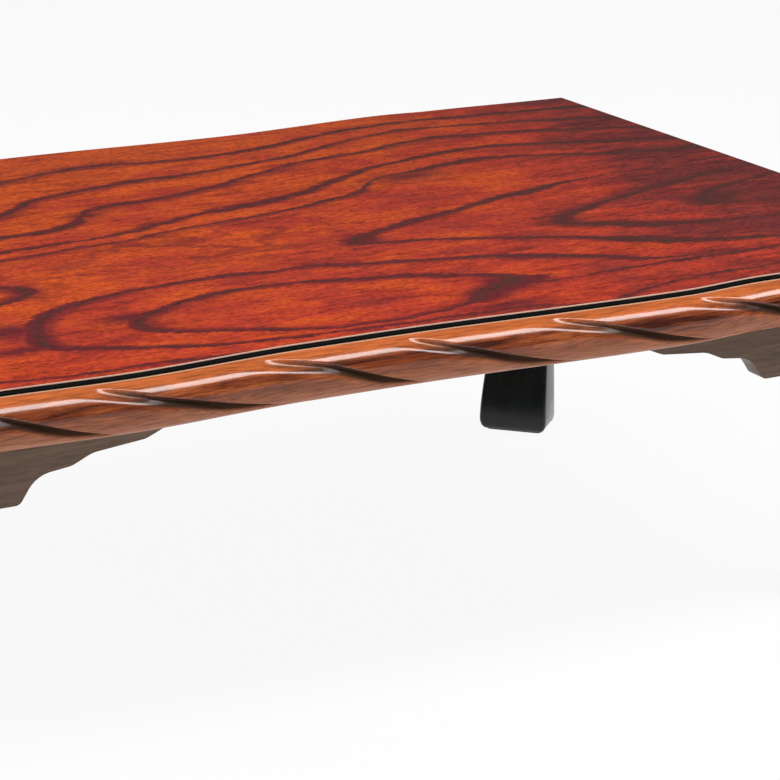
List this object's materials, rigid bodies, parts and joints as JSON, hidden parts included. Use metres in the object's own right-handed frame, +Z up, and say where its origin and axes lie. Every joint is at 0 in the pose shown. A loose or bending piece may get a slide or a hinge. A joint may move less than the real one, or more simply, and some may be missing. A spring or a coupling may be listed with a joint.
{
  "type": "low table",
  "caption": "Low rectangular table for floor seating: veneered wood top, rope carved along both long edges, apron frame with cloud-shaped brackets, and legs that curve inwards.",
  "frame": {"origin": "on the floor, at the middle of the table", "axes": "+X along the table's length, to the right seen from the front; -Y towards the front; +Z up"},
  "size_m": [1.058, 0.7508, 0.326],
  "materials": {
    "top_veneer": "figured veneer under clear gloss lacquer, red-orange stain",
    "rope_wood": "carved solid wood, red-brown stain under gloss lacquer",
    "black_line": "black stained strip",
    "frame_wood": "dark brown stain, satin lacquer",
    "hidden_wood": "sawn wood, one thin coat of brown stain",
    "core_board": "raw board",
    "backing": "plain brown sheet",
    "zinc_steel": "zinc plated",
    "felt": "pressed felt"
  },
  "bodies": {
    "root": {"apron_back": "frame_wood", "apron_front": "frame_wood", "apron_left": "frame_wood", "apron_right": "frame_wood", "backing_sheet": "backing", "batten_left": "hidden_wood", "batten_right": "hidden_wood", "batten_screws": "zinc_steel", "bolt_nuts": "zinc_steel", "bolt_washers": "zinc_steel", "brace_screws": "zinc_steel", "bracket_back_left": "frame_wood", "bracket_back_right": "frame_wood", "bracket_dowels": "hidden_wood", "bracket_front_left": "frame_wood", "bracket_front_right": "frame_wood", "bracket_left_back": "frame_wood", "bracket_left_front": "frame_wood", "bracket_right_back": "frame_wood", "bracket_right_front": "frame_wood", "corner_brace_back_left": "hidden_wood", "corner_brace_back_right": "hidden_wood", "corner_brace_front_left": "hidden_wood", "corner_brace_front_right": "hidden_wood", "edge_buildup_back": "frame_wood", "edge_buildup_front": "frame_wood", "edge_buildup_left": "frame_wood", "edge_buildup_right": "frame_wood", "edge_tongue_back": "hidden_wood", "edge_tongue_front": "hidden_wood", "end_lipping_left": "rope_wood", "end_lipping_right": "rope_wood", "foot_pad_back_left": "felt", "foot_pad_back_right": "felt", "foot_pad_front_left": "felt", "foot_pad_front_right": "felt", "hanger_bolts": "zinc_steel", "inlay_line_back": "black_line", "inlay_line_front": "black_line", "leg_back_left": "frame_wood", "leg_back_right": "frame_wood", "leg_front_left": "frame_wood", "leg_front_right": "frame_wood", "rail_screws": "zinc_steel", "rope_edge_back": "rope_wood", "rope_edge_front": "rope_wood", "top_core": "core_board", "top_veneer": "top_veneer"}
  },
  "joints": []
}
